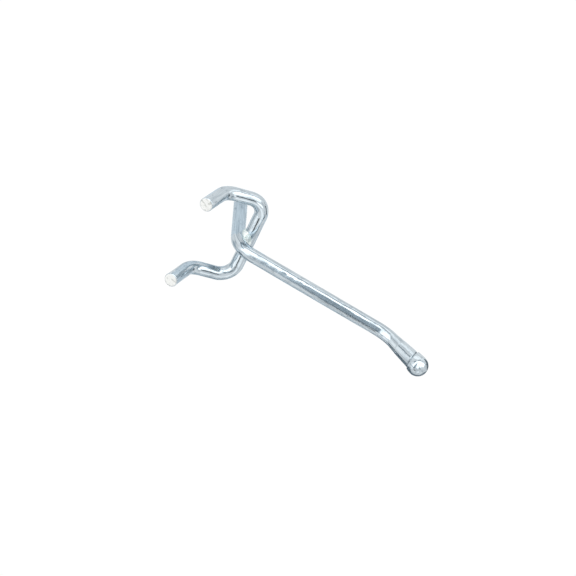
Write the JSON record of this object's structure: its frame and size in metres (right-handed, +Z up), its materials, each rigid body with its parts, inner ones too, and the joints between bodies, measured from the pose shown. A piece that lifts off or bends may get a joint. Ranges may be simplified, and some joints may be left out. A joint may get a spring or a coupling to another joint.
{
  "type": "pegboard hook",
  "caption": "Bent-wire pegboard hook with a rising arm, an upturned headed tip, a leg on the board's face and a welded back wire whose prongs hook up behind the holes.",
  "frame": {"origin": "on the front face of the board, midway between the two holes that the shanks go through", "axes": "+X along the row of holes, +Y into the board, +Z up; the arm points to -Y"},
  "size_m": [0.0292, 0.0703, 0.0546],
  "materials": {
    "zinc_plated_wire": "bright zinc plate on drawn steel wire",
    "weld_metal": "zinc plated over the rippled weld"
  },
  "bodies": {
    "root": {"arm_wire": "zinc_plated_wire", "back_wire": "zinc_plated_wire", "weld": "weld_metal"}
  },
  "joints": []
}
